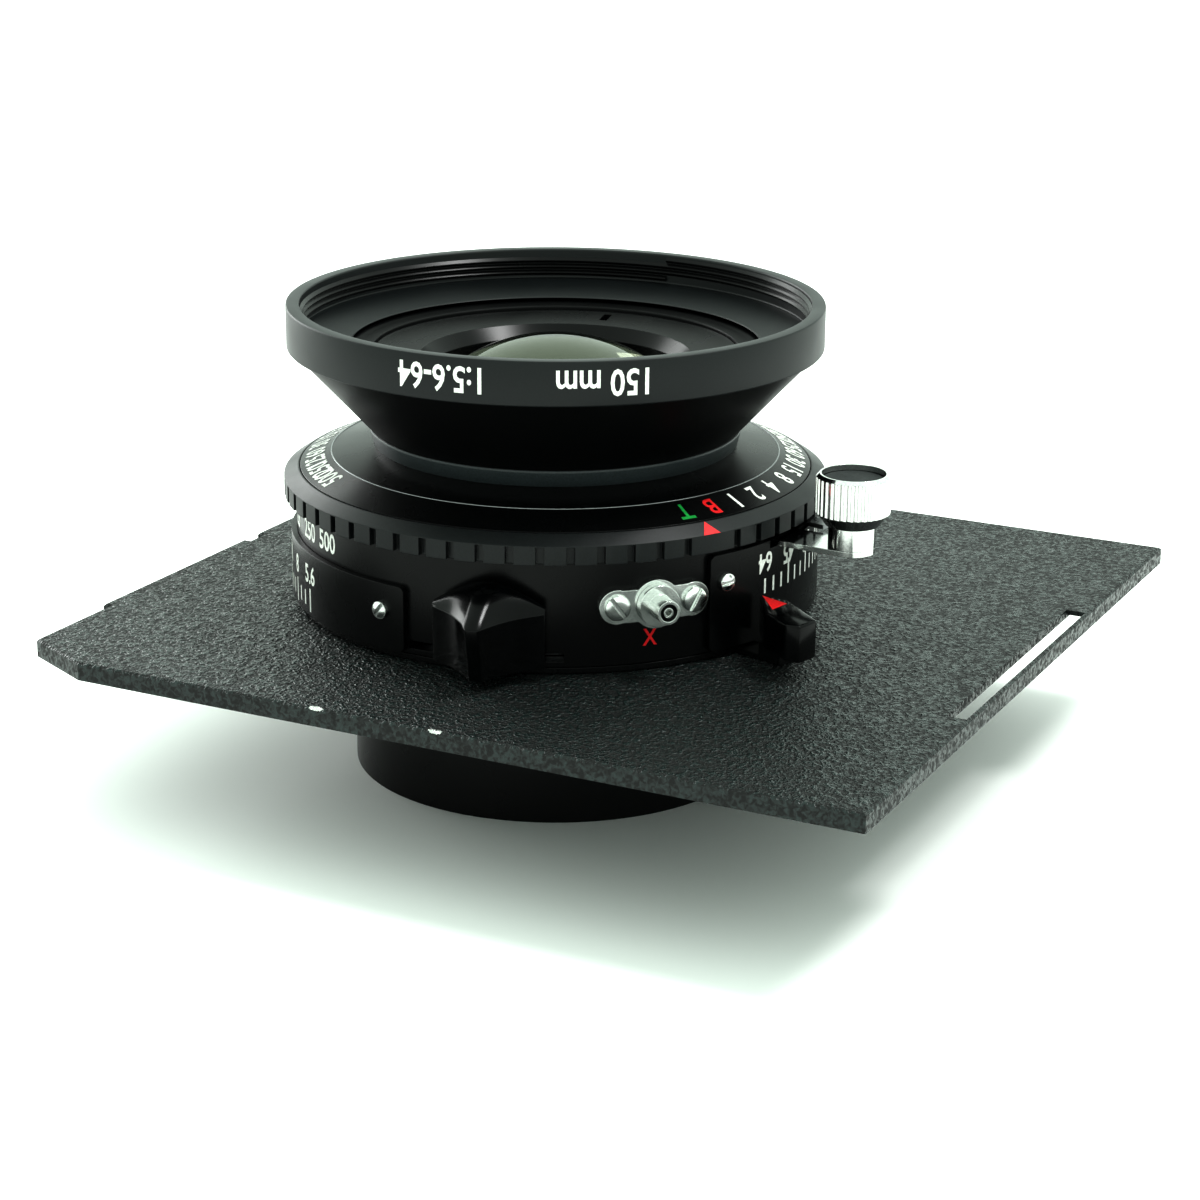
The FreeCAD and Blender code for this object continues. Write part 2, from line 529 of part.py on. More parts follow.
sleeve = radialRod("sync_sleeve", "insulatorRadius", "collarOut - 0.4", "syncEnd - 0.3",
                   syncAngle, syncHeight)
sleeveBore = radialRod("sleeve_bore", "contactRadius", "collarOut - 1", "syncEnd + 1",
                       syncAngle, syncHeight)
keep("sync_insulator", cut("sync_insulator", sleeve, sleeveBore))
pipe = radialRod("sync_pipe", "contactRadius", "collarOut - 0.4", "syncEnd - 0.1", syncAngle, syncHeight)
pipeBore = radialRod("pipe_bore", "contactBore", "collarOut + 0.4", "syncEnd + 1", syncAngle, syncHeight)
keep("sync_contact", cut("sync_contact", pipe, pipeBore))

# ---- cable socket on its bracket ----
socketAngle = size["socketAngle"]
socketPlace = sector(size["socketAt"], socketAngle)
postPlace = sector(size["postAt"], socketAngle)
strip = bar("bracket_strip", "postAt", "socketAt", "stemRadius + stemRadius", "bracketLow", "bracketTop",
            socketAngle)
bracketEnd = rod("bracket_end", "stemRadius", "bracketLow", "bracketTop", socketPlace)
bracketRoot = rod("bracket_root", "stemRadius", "bracketLow", "bracketTop", postPlace)
keep("socket_bracket", fuse("socket_bracket", strip, bracketEnd, bracketRoot))
keep("bracket_post", rod("bracket_post", "postRadius", "shutterPlateTop", "bracketLow", postPlace))


def socketTurned(label, outline):
    body = turned(label, outline)
    body.Placement.Base = socketPlace
    return body


keep("socket_barrel", socketTurned("socket_barrel", [
    ("0", "bracketTop"), ("stemRadius", "bracketTop"), ("stemRadius", "stemTop"), ("coreRadius", "stemTop"),
    ("coreRadius", "coreTop"), ("0", "coreTop")]))
keep("socket_insert", rod("socket_insert", "insertRadius", "coreTop", "insertTop", socketPlace))


def socketCollar():
    body = socketTurned("socket_collar", [
        ("collarBore", "collarLow"), ("undercut", "collarLow"), ("collarRadius - 0.2", "collarFoot"),
        ("collarRadius", "collarFoot + 0.1"), ("collarRadius", "collarShoulder"), ("collarRim", "collarTop"),
        ("collarRecess", "collarTop"), ("collarRecess", "recessLow"), ("collarBore", "recessLow")])
    doc.recompute()
    sketch = newSketch(body, "XY_Plane", "flute_outline")
    level = Vector(0, 0, size["collarShoulder"] + 0.05)
    sketch.AttachmentOffset = FreeCAD.Placement(level, FreeCAD.Rotation())
    place = Vector(size["collarRadius"] + 0.06, 0, 0)
    sketch.addGeometry(Part.Circle(place, Vector(0, 0, 1), size["fluteRadius"]), False)
    sketch.addConstraint(Sketcher.Constraint("Block", 0))
    flute = body.newObject("PartDesign::Pocket", "flute")
    flute.Profile = sketch
    flute.setExpression("Length", "Sizes.collarShoulder - Sizes.collarFoot + 0.1")
    doc.recompute()
    pattern(body, "flutes", flute, int(size["fluteCount"]), 360)
    return body


keep("socket_collar", socketCollar())

# ---- release lever ----
pivotPlace = sector(size["releasePivot"], size["releaseAngle"])
hub = rod("release_hub", "releaseWide", "releaseLow", "releaseTop")
blank = bar("release_arm", "0", "releaseReach", "releaseWide", "releaseLow", "releaseTop", 0)
release = fuse("release_lever", hub, blank)
release.Placement = FreeCAD.Placement(
    pivotPlace, FreeCAD.Rotation(Vector(0, 0, 1), size["releaseAngle"] + size["releaseTurn"]))
keep("release_lever", release)

# ---- front cell ----
keep("front_hood", turned("front_hood", [
    ("hoodBore", "neckTop"), ("neckRadius", "neckTop"), ("hoodRadius", "hoodTop"), ("rimRadius", "hoodTop"),
    ("rimRadius", "rimTop"), ("threadRadius", "rimTop"), ("threadRadius", "threadLow"),
    ("funnelRadius", "threadLow"), ("funnelFoot", "funnelLow"), ("seatRadius", "funnelLow"),
    ("seatRadius", "cellFlange"), ("hoodBore", "cellFlange")]))
keep("front_cell_barrel", turned("front_cell_barrel", [
    ("innerThroat", "threadEnd"), ("cellThread", "threadEnd"), ("cellThread", "neckTop"),
    ("cellRadius", "neckTop"), ("cellRadius", "cellFlange"), ("keeperOuter", "cellFlange"),
    ("keeperOuter", "seatLow"), ("glassBore", "seatLow"), ("glassBore", "glassSeat"),
    ("throat", "glassSeat"), ("throat", "innerSeat"), ("innerBore", "innerSeat"),
    ("innerBore", "innerLow"), ("innerThroat", "innerLow")]))
keeper = turned("keeper_blank", [
    ("keeperBore", "keeperFoot"), ("keeperTube", "keeperFoot"), ("keeperTube", "seatLow"),
    ("keeperOuter", "seatLow"), ("keeperOuter", "keeperTop"), ("keeperInner", "keeperLip"),
    ("keeperBore", "seatLow")])
keeperNotches = [bar("keeper_notch_%d" % turn, "keeperNotchInner", "keeperNotchOuter", "notchWide",
                     "keeperTop - keeperNotchDeep", "keeperTop + 1", size["keeperNotchAt"] + turn)
                 for turn in (0, 180)]
keep("front_retaining_ring", cut("keeper", keeper, *keeperNotches))
keep("front_glass_outer", dome("front_glass_outer", "frontGlass", "frontApex", "frontDome", "glassSeat"))
keep("front_glass_inner", dome("front_glass_inner", "middleGlass", "middleApex", "middleDome", "innerLow"))

# ---- rear cell ----
keep("rear_barrel", turned("rear_barrel", [
    ("rearGlassBore", "0"), ("barrelRadius", "0"), ("barrelRadius", "barrelSide"),
    ("barrelEdge", "barrelTop"),
    ("cellThread", "barrelTop"), ("cellThread", "rearThreadEnd"), ("rearThroat", "rearThreadEnd"),
    ("rearThroat", "rearSeat"), ("rearGlassBore", "rearSeat")]))
keep("rear_retaining_ring", turned("rear_retaining_ring", [
    ("rearKeeper", "rearKeeperLow"), ("rearGlassBore", "rearKeeperLow"), ("rearGlassBore", "rearKeeperTop"),
    ("rearKeeper + 0.6", "rearKeeperTop")]))
keep("rear_glass_outer", dome("rear_glass_outer", "rearGlass", "rearApex", "rearDome", "rearSeat", -1))
rearInner = dome("rear_glass_inner", "rearInner", "rearInnerApex", "rearInnerDome", "rearInnerLow")
keep("rear_glass_inner", rearInner)

# ---- check and write ----
doc.recompute()
for item in doc.Objects:
    if "Invalid" in item.State or "Error" in item.State:
        raise RuntimeError("%s is %s" % (item.Label, item.State))
os.makedirs("parts", exist_ok=True)
for item in subParts:
    shape = item.Shape
    if shape.isNull() or not shape.isValid():
        raise RuntimeError("%s has no valid shape" % item.Label)
    print("%-28s %9.2f mm3  %d solid  z %.2f..%.2f" % (
        item.Label, shape.Volume, len(shape.Solids), shape.BoundBox.ZMin, shape.BoundBox.ZMax))
    shape.exportStep("parts/%s.step" % item.Label)
print(len(subParts), "sub-parts")
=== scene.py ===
import json
import math
import bmesh
import bpy
from mathutils import Matrix, Vector
from mathutils.geometry import interpolate_bezier


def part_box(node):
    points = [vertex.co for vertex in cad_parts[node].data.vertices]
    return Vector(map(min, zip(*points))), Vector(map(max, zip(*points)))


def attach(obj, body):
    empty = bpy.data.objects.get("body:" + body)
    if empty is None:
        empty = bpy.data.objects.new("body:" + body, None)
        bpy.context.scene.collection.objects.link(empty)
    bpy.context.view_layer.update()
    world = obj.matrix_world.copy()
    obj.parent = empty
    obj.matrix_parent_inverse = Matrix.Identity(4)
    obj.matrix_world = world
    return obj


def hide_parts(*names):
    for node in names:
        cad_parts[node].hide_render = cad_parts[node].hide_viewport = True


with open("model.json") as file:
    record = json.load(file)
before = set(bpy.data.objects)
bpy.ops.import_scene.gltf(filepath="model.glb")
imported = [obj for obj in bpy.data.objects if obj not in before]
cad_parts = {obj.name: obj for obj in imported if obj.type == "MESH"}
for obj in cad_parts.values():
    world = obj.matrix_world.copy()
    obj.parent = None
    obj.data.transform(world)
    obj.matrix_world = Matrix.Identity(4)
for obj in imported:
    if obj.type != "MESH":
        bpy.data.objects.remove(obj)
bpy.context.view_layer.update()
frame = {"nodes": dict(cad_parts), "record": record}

mm = 0.001
nodes = frame["nodes"]
print("frame loaded:", len(nodes), "parts")


# Materials.
# sRGB hex to linear colour.
def linearColour(hexText):
    parts = [int(hexText[i:i + 2], 16) / 255 for i in (1, 3, 5)]
    return [p / 12.92 if p <= 0.04045 else ((p + 0.055) / 1.055) ** 2.4 for p in parts] + [1]


# One node with its settings and the sockets that feed it.
def addNode(tree, kind, settings=None, links=None):
    made = tree.nodes.new(kind)
    for key, value in (settings or {}).items():
        if key == "stops":
            for spot, hexText in zip(made.color_ramp.elements, value):
                spot.position, spot.color = hexText[0], linearColour(hexText[1])
        elif isinstance(key, int) or key in made.inputs:
            made.inputs[key].default_value = value
        else:
            setattr(made, key, value)
    for key, (source, output) in (links or {}).items():
        tree.links.new(source.outputs[output], made.inputs[key])
    return made


# A material with its shader's own settings; colours are given as hex text.
def newMaterial(name, shader):
    material = bpy.data.materials.new(name)
    material.use_nodes = True
    tree = material.node_tree
    surface = tree.nodes["Principled BSDF"]
    for key, value in shader.items():
        surface.inputs[key].default_value = linearColour(value) if isinstance(value, str) else value
    place = addNode(tree, "ShaderNodeTexCoord")
    return material, tree, surface, place


# A finish whose colour, gloss and surface all vary with one grain, and whose edges catch the light.
def finish(name, shader, grain):
    material, tree, surface, place = newMaterial(name, shader)
    spread = addNode(tree, "ShaderNodeMapping", {"Scale": grain.get("stretch", (1, 1, 1))},
                     {"Vector": (place, "Object")})
    noise = addNode(tree, "ShaderNodeTexNoise",
                    {"Scale": 1 / (grain["size"] * mm), "Detail": grain["detail"], "Roughness": 0.55},
                    {"Vector": (spread, "Vector")})
    colour = addNode(tree, "ShaderNodeValToRGB",
                     {"stops": ((0.3, grain["dark"]), (0.7, grain["light"]))}, {"Fac": (noise, "Fac")})
    tree.links.new(colour.outputs["Color"], surface.inputs["Base Color"])
    cloud = addNode(tree, "ShaderNodeTexNoise", {"Scale": 1 / (grain["cloud"] * mm), "Detail": 3},
                    {"Vector": (place, "Object")})
    gloss = addNode(tree, "ShaderNodeMapRange",
                    {"To Min": grain["gloss"][0], "To Max": grain["gloss"][1],
                     "From Min": 0.3, "From Max": 0.7},
                    {"Value": (cloud, "Fac")})
    tree.links.new(gloss.outputs["Result"], surface.inputs["Roughness"])
    edge = addNode(tree, "ShaderNodeBevel", {"Radius": grain["edge"] * mm, "samples": 4})
    bump = addNode(tree, "ShaderNodeBump", {"Strength": 1, "Distance": grain["depth"] * mm},
                   {"Height": (noise, "Fac"), "Normal": (edge, "Normal")})
    tree.links.new(bump.outputs["Normal"], surface.inputs["Normal"])
    return material


# Black-dyed anodised aluminium, turned: a deep black whose edges draw a thin pale line.
blackAnodised = finish("black anodised aluminium", {"Specular IOR Level": 0.25}, {
    "size": 0.12, "detail": 2, "dark": "#040505", "light": "#090a0b", "cloud": 9, "gloss": (0.22, 0.3),
    "edge": 0.14, "depth": 0.0008})
# The raised neck behind the hood: the black anodising painted a soft satin grey, a painted sheen.
sheenNeckAnodised = finish("neck anodised aluminium, painted sheen", {"Specular IOR Level": 0.5}, {
    "size": 0.2, "detail": 2, "dark": "#262c2e", "light": "#343b3d", "cloud": 7, "gloss": (0.3, 0.38),
    "edge": 0.1, "depth": 0.001})
# Bead-blasted black on the hood's cone: it drinks the light.
blastedAnodised = finish("blasted anodised aluminium", {"Specular IOR Level": 0.16}, {
    "size": 0.14, "detail": 3, "dark": "#050606", "light": "#0a0b0c", "cloud": 12, "gloss": (0.34, 0.42),
    "edge": 0.16, "depth": 0.003})
# The straight rim above the cone: the case's black anodising painted a paler satin grey-black, a painted
# sheen.
sheenRimAnodised = finish("rim anodised aluminium, painted sheen", {"Specular IOR Level": 0.42}, {
    "size": 0.14, "detail": 3, "dark": "#0e1213", "light": "#14191a", "cloud": 12, "gloss": (0.34, 0.42),
    "edge": 0.16, "depth": 0.002})
# Grey-black anodised ring that is gripped: a little paler than the case, worn smooth.
ringAnodised = finish("grey anodised aluminium", {"Specular IOR Level": 0.4}, {
    "size": 0.2, "detail": 3, "dark": "#0d1011", "light": "#161b1c", "cloud": 6, "gloss": (0.32, 0.42),
    "edge": 0.14, "depth": 0.003})
# Matt black paint inside the mount: it swallows stray light, and only its ridges show.
mattBlack = finish("matt black lining", {"Specular IOR Level": 0.35}, {
    "size": 0.1, "detail": 2, "dark": "#060607", "light": "#0e0f10", "cloud": 8, "gloss": (0.5, 0.62),
    "edge": 0.08, "depth": 0.003})
# Polished chrome plate on brass: a mirror with faint wiping marks.
brightChrome = finish("polished chrome plate", {"Metallic": 1.0}, {
    "size": 0.3, "detail": 2, "dark": "#c9cac9", "light": "#dddedc", "cloud": 3, "gloss": (0.07, 0.16),
    "edge": 0.08, "depth": 0.0006})
# Satin nickel plate: soft grey metal with short brushing marks.
satinNickel = finish("satin nickel plate", {"Metallic": 1.0}, {
    "size": 0.3, "detail": 2, "dark": "#cfd2d0", "light": "#e4e6e3", "cloud": 2, "gloss": (0.16, 0.26),
    "edge": 0.12, "depth": 0.0006, "stretch": (1, 1, 4)})
# Ground steel of the inner levers and plates: bright along the grain.
groundSteel = finish("ground steel", {"Metallic": 1.0}, {
    "size": 0.15, "detail": 3, "dark": "#7b7d7f", "light": "#9a9c9d", "cloud": 4, "gloss": (0.22, 0.34),
    "edge": 0.06, "depth": 0.002, "stretch": (1, 1, 5)})
# Thin blackened steel of the blades: almost black, with a low sheen.
blackenedSteel = finish("blackened steel", {"Metallic": 1.0}, {
    "size": 0.25, "detail": 3, "dark": "#191a1c", "light": "#242629", "cloud": 5, "gloss": (0.35, 0.48),
    "edge": 0.03, "depth": 0.001})
# Gloss black moulded plastic of the finger levers: dark as ink, with sharp white reflections.
glossPlastic = finish("gloss black plastic", {"Specular IOR Level": 0.22}, {
    "size": 1.2, "detail": 1, "dark": "#020303", "light": "#040506", "cloud": 4, "gloss": (0.12, 0.18),
    "edge": 0.1, "depth": 0.0015})
# Dark rubber disc in the cable socket: dull grey with a fine moulded grain.
sealRubber = finish("dark rubber", {"Specular IOR Level": 0.4}, {
    "size": 0.18, "detail": 4, "dark": "#2b2e2e", "light": "#3c4040", "cloud": 2, "gloss": (0.6, 0.75),
    "edge": 0.08, "depth": 0.012})
# Enamel filled into the engraved figures: flat, slightly uneven colour.
whiteFill = finish("white filling enamel", {"Specular IOR Level": 0.4}, {
    "size": 0.3, "detail": 2, "dark": "#d9dad6", "light": "#f2f2ee", "cloud": 3, "gloss": (0.4, 0.5),
    "edge": 0.02, "depth": 0.002})
redFill = finish("red filling enamel", {"Specular IOR Level": 0.4}, {
    "size": 0.3, "detail": 2, "dark": "#c2161d", "light": "#e0262b", "cloud": 3, "gloss": (0.35, 0.45),
    "edge": 0.02, "depth": 0.002})
greenFill = finish("green filling enamel", {"Specular IOR Level": 0.4}, {
    "size": 0.3, "detail": 2, "dark": "#12843c", "light": "#22a04f", "cloud": 3, "gloss": (0.35, 0.45),
    "edge": 0.02, "depth": 0.002})


# Baked crinkle enamel on sheet aluminium: tight wormy ridges that glint on the flats, their crests painted
# paler as painted glints, a smoother skin on the edges, and bare metal where two spots of the edge are
# chipped.
def crinkleEnamel():
    grain = {"ridge": 0.55, "height": 0.55, "dark": "#030605", "light": "#232f2e", "chip": "#c9cbc8",
             "sheen": (0.6, 0.2), "chips": ((-46.45, 3.3, 19.5), (-46.45, -10.8, 19.5)),
             "reach": (0.45, 0.85, 0.3), "torn": 1.45}
    material, tree, surface, place = newMaterial("crinkle enamel", {"Specular IOR Level": 0.5})
    ridges = addNode(tree, "ShaderNodeTexNoise",
                     {"Scale": 1 / (grain["ridge"] * mm), "Detail": 1.2, "Roughness": 0.5,
                      "Distortion": 0.8},
                     {"Vector": (place, "Object")})
    fine = addNode(tree, "ShaderNodeTexNoise", {"Scale": 3 / (grain["ridge"] * mm), "Detail": 2},
                   {"Vector": (place, "Object")})
    height = addNode(tree, "ShaderNodeMath", {"operation": "MULTIPLY_ADD", 1: 0.2},
                     {0: (fine, "Fac"), 2: (ridges, "Fac")})
    # The crests are painted paler than the hollows: a painted glint on the ridges.
    colour = addNode(tree, "ShaderNodeValToRGB",
                     {"stops": ((0.42, grain["dark"]), (0.68, grain["light"]))}, {"Fac": (ridges, "Fac")})
    gloss = addNode(tree, "ShaderNodeMapRange",
                    {"From Min": 0.38, "From Max": 0.62, "To Min": grain["sheen"][0],
                     "To Max": grain["sheen"][1]},
                    {"Value": (ridges, "Fac")})
    facing = addNode(tree, "ShaderNodeSeparateXYZ", {}, {"Vector": (place, "Normal")})
    flat = addNode(tree, "ShaderNodeMapRange",
                   {"From Min": 0.4, "From Max": 0.9, "To Min": 0.12, "To Max": 1},
                   {"Value": (facing, "Z")})
    bump = addNode(tree, "ShaderNodeBump", {"Distance": grain["height"] * mm},
                   {"Height": (height, "Value"), "Strength": (flat, "Result")})
    bare = None
    for centre in grain["chips"]:
        away = addNode(tree, "ShaderNodeVectorMath",
                       {"operation": "SUBTRACT", 1: [value * mm for value in centre]},
                       {0: (place, "Object")})
        scaled = addNode(tree, "ShaderNodeVectorMath",
                         {"operation": "DIVIDE", 1: [value * mm for value in grain["reach"]]},
                         {0: (away, 0)})
        far = addNode(tree, "ShaderNodeVectorMath", {"operation": "LENGTH"}, {0: (scaled, 0)})
        ragged = addNode(tree, "ShaderNodeMath", {"operation": "ADD"}, {0: (far, "Value"), 1: (fine, "Fac")})
        near = addNode(tree, "ShaderNodeMath", {"operation": "LESS_THAN", 1: grain["torn"]},
                       {0: (ragged, "Value")})
        bare = near if bare is None else addNode(tree, "ShaderNodeMath", {"operation": "MAXIMUM"},
                                                 {0: (bare, "Value"), 1: (near, "Value")})
    chipped = addNode(tree, "ShaderNodeMix", {"data_type": "RGBA", 7: linearColour(grain["chip"])},
                      {0: (bare, "Value"), 6: (colour, "Color")})
    tree.links.new(chipped.outputs[2], surface.inputs["Base Color"])
    tree.links.new(bare.outputs["Value"], surface.inputs["Metallic"])
    tree.links.new(gloss.outputs["Result"], surface.inputs["Roughness"])
    tree.links.new(bump.outputs["Normal"], surface.inputs["Normal"])
    return material


# Coated optical glass: an olive tint in its reflections, and a dark olive grey body that is painted shade.
def coatedGlass():
    material, tree, surface, place = newMaterial("coated optical glass", {
        # The dark olive grey base colour is painted shade over what shows through the glass.
        "Base Color": "#5d6155", "Transmission Weight": 1.0, "IOR": 1.5, "Specular IOR Level": 0.3,
        "Specular Tint": "#81886f"})
    skin = {"dust": 2.5, "haze": 0.015}
    dust = addNode(tree, "ShaderNodeTexNoise", {"Scale": 1 / (skin["dust"] * mm), "Detail": 5},
                   {"Vector": (place, "Object")})
    haze = addNode(tree, "ShaderNodeMapRange",
                   {"From Min": 0.4, "From Max": 0.75, "To Min": 0.0, "To Max": skin["haze"]},
                   {"Value": (dust, "Fac")})
    tree.links.new(haze.outputs["Result"], surface.inputs["Roughness"])
    return material


enamel = crinkleEnamel()
glass = coatedGlass()
finishes = {
    "lens_board": enamel,
    "shutter_housing": blackAnodised,
    "front_cover_plate": blackAnodised,
    "speed_scale_ring": blackAnodised,
    "speed_ring": ringAnodised,
    "front_hood": blastedAnodised,
    "front_cell_barrel": mattBlack,
    "front_retaining_ring": blackAnodised,
    "rear_barrel": blackAnodised,
    "rear_retaining_ring": blackAnodised,
    "shutter_retaining_ring": blackAnodised,
    "aperture_scale_plate_right": blackAnodised,
    "aperture_scale_plate_left": blackAnodised,
    "aperture_lever_tip": glossPlastic,
    "cocking_lever_cap": glossPlastic,
    "sync_insulator": glossPlastic,
    "socket_insert": sealRubber,
    "socket_collar": brightChrome,
    "socket_barrel": brightChrome,
    "socket_bracket": brightChrome,
    "aperture_ring": blackAnodised,
}
bySlot = {"satin_nickel": satinNickel, "spring_steel": groundSteel, "blackened_steel": blackenedSteel,
          "coated_glass": glass}
slotOf = {part["node"]: part["material_slot"] for part in frame["record"]["subparts"]}


# Give a piece its only material.
def dress(piece, material, slotName):
    piece.data.materials.clear()
    piece.data.materials.append(material)


for name, part in nodes.items():
    dress(part, finishes.get(name) or bySlot[slotOf[name]], slotOf[name])
print("materials on the parts:", len(bpy.data.materials))


# Pieces.
# Turn a bmesh into a piece that rides on a body.
def piece(name, bm, material, slotName, body, smooth=30):
    mesh = bpy.data.meshes.new(name)
    bmesh.ops.recalc_face_normals(bm, faces=bm.faces)
    for face in bm.faces:
        face.smooth = True
    for edge in bm.edges:
        if len(edge.link_faces) == 2 and edge.calc_face_angle() > math.radians(smooth):
            edge.smooth = False
    bm.to_mesh(mesh)
    bm.free()
    made = bpy.data.objects.new(name, mesh)
    bpy.context.scene.collection.objects.link(made)
    dress(made, material, slotName)
    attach(made, body)
    return made


# A point in metres from a radius and height in millimetres and an angle in degrees.
def polar(radius, angle, height=0.0):
    turn = math.radians(angle)
    return Vector((radius * math.cos(turn), radius * math.sin(turn), height)) * mm


# A closed outline of radii and heights, its corners rounded, spun once about the lens axis.
def turnedPiece(outline, corner, steps=180):
    bm = bmesh.new()
    verts = [bm.verts.new((r * mm, 0, z * mm)) for r, z in outline]
    for i, vert in enumerate(verts):
        bm.edges.new((vert, verts[(i + 1) % len(verts)]))
    bmesh.ops.bevel(bm, geom=verts, offset=corner * mm, segments=3, profile=0.5, affect="VERTICES",
                    material=-1)
    bmesh.ops.spin(bm, geom=bm.verts[:] + bm.edges[:], cent=(0, 0, 0), axis=(0, 0, 1), angle=math.tau,
                   steps=steps, use_merge=True)
    bmesh.ops.remove_doubles(bm, verts=bm.verts, dist=0.001 * mm)
    return bm


# Front hood with its filter thread.
hoodLow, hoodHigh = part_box("front_hood")
hood = {"rim": hoodHigh.x / mm, "top": hoodHigh.z / mm, "foot": hoodLow.z / mm, "neck": 20.95,
        "shoulder": 29.5, "step": 48.8, "bore": 28.6, "threadLow": 50.1, "funnel": 28.1, "funnelFoot": 22,
        "funnelLow": 48.3, "seat": 20.5, "flange": 45.3, "throat": 18, "round": 0.18, "rimFoot": 22.9,
        "rimLip": 23, "lap": 0.02, "steps": 240}
hoodMesh = turnedPiece([
    (hood["throat"], hood["foot"]), (hood["neck"], hood["foot"]), (hood["shoulder"], hood["step"]),
    (hood["funnel"], hood["step"]), (hood["funnelFoot"], hood["funnelLow"]),
    (hood["seat"], hood["funnelLow"]), (hood["seat"], hood["flange"]), (hood["throat"], hood["flange"])],
    hood["round"], hood["steps"])
hoodPiece = piece("flared_hood", hoodMesh, blastedAnodised, "black_anodised", "mount")
# The rim wears the paler copy of the anodising: painted sheen.
rimMesh = turnedPiece([
    (hood["rimFoot"], hood["step"]), (hood["rim"], hood["step"]), (hood["rim"], hood["top"]),
    (hood["bore"], hood["top"]), (hood["bore"], hood["threadLow"]), (hood["funnel"], hood["threadLow"]),
    (hood["rimLip"], hood["step"] + hood["lap"])], hood["round"], hood["steps"])
rimPiece = piece("hood_rim", rimMesh, sheenRimAnodised, "black_anodised", "mount")
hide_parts("front_hood")
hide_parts("front_hood")

neck = {"foot": 20.63, "low": 37.62, "wall": 21.06, "shoulder": 39.25, "top": 39.5, "inner": 20.2,
        "round": 0.06}
# The neck band wears the grey copy of the anodising: painted sheen.
piece("neck_band", turnedPiece([
    (neck["inner"], neck["low"]), (neck["foot"], neck["low"]), (neck["wall"], neck["shoulder"]),
    (neck["wall"], neck["top"]), (neck["inner"], neck["top"])], neck["round"]),
    sheenNeckAnodised, "black_anodised", "mount")

thread = {"pitch": 0.75, "turns": 3, "root": hood["bore"] + 0.02, "crest": hood["bore"] - 0.38,
          "start": hood["threadLow"] + 0.25, "steps": 240}


# A real screw thread: a zigzag of ridges spun once while it climbs one pitch.
def filterThread():
    bm = bmesh.new()
    last = None
    for i in range(2 * thread["turns"] + 1):
        radius = thread["root"] if i % 2 == 0 else thread["crest"]
        vert = bm.verts.new((radius * mm, 0, (thread["start"] + i * thread["pitch"] / 2) * mm))
        if last:
            bm.edges.new((last, vert))
        last = vert
    climb = Vector((0, 0, thread["pitch"] * mm / thread["steps"]))
    bmesh.ops.spin(bm, geom=bm.verts[:] + bm.edges[:], cent=(0, 0, 0), axis=(0, 0, 1), dvec=climb,
                   angle=math.tau, steps=thread["steps"])
    bmesh.ops.remove_doubles(bm, verts=bm.verts, dist=0.002 * mm)
    return bm


# A thin bright steel ring round the front, where the plate meets the engraved ring: a painted highlight
# line.
glintRing = {"inner": 25.32, "outer": 25.46, "low": 36.45, "top": 36.66, "round": 0.03}
piece("cover_edge_highlight", turnedPiece([
    (glintRing["inner"], glintRing["low"]), (glintRing["outer"], glintRing["low"]), (glintRing["outer"], glintRing["top"]),
    (glintRing["inner"], glintRing["top"])], glintRing["round"]), groundSteel, "spring_steel", "mount")
piece("filter_thread", filterThread(), blackAnodised, "black_anodised", "mount", 20)
print("hood and thread made")


# Scales: figures and strokes laid on walls and cones.
# Where a mark's own x, y and thickness go on an upright wall.
def onWall(radius, angle, height, upright=True):
    way = 1 if upright else -1

    def spot(x, y, out):
        return polar(radius + out, angle + way * math.degrees(x / radius), height + way * y)
    return spot


# The same on a cone that falls away outwards, with the mark's top to the outside.
def onCone(radius, angle, height, slope):
    fall = math.radians(slope)

    def spot(x, y, out):
        reach = radius + y * math.cos(fall) + out * math.sin(fall)
        return polar(reach, angle - math.degrees(x / radius),
                     height - y * math.sin(fall) + out * math.cos(fall))
    return spot


paint = {"thick": 0.03, "sink": 0.03, "squeeze": 0.8, "bold": 0.018}


# A figure of a given height, bent onto its surface.
def addFigure(bm, text, high, spot):
    curve = bpy.data.curves.new("figure", "FONT")
    curve.body = text
    curve.extrude = 0.1
    curve.offset = paint["bold"]
    curve.resolution_u = 3
    holder = bpy.data.objects.new("figure", curve)
    bpy.context.scene.collection.objects.link(holder)
    bpy.context.view_layer.update()
    mesh = bpy.data.meshes.new_from_object(holder.evaluated_get(bpy.context.evaluated_depsgraph_get()))
    lowX, highX = min(v.co.x for v in mesh.vertices), max(v.co.x for v in mesh.vertices)
    lowY, highY = min(v.co.y for v in mesh.vertices), max(v.co.y for v in mesh.vertices)
    size = high / (highY - lowY)
    for vert in mesh.vertices:
        x = (vert.co.x - (lowX + highX) / 2) * size * paint["squeeze"]
        y = (vert.co.y - (lowY + highY) / 2) * size
        out = paint["thick"] if vert.co.z > 0 else -paint["sink"]
        vert.co = spot(x, y, out)
    bm.from_mesh(mesh)
    bpy.data.objects.remove(holder)
    bpy.data.curves.remove(curve)
    bpy.data.meshes.remove(mesh)


# A straight stroke bent onto its surface.
def addStroke(bm, wide, high, spot):
    made = bmesh.ops.create_cube(bm, size=1.0)
    for vert in made["verts"]:
        out = paint["thick"] if vert.co.z > 0 else -paint["sink"]
        vert.co = spot(vert.co.x * wide, vert.co.y * high, out)


# A small filled triangle bent onto its surface.
def addTriangle(bm, points, spot):
    corners = [bm.verts.new((x, y, -paint["sink"])) for x, y in points]
    face = bm.faces.new(corners)
    top = bmesh.ops.extrude_face_region(bm, geom=[face])["geom"]
    raised = [item for item in top if isinstance(item, bmesh.types.BMVert)]
    for vert in raised:
        vert.co.z = paint["thick"]
    for vert in corners + raised:
        vert.co = spot(*vert.co)


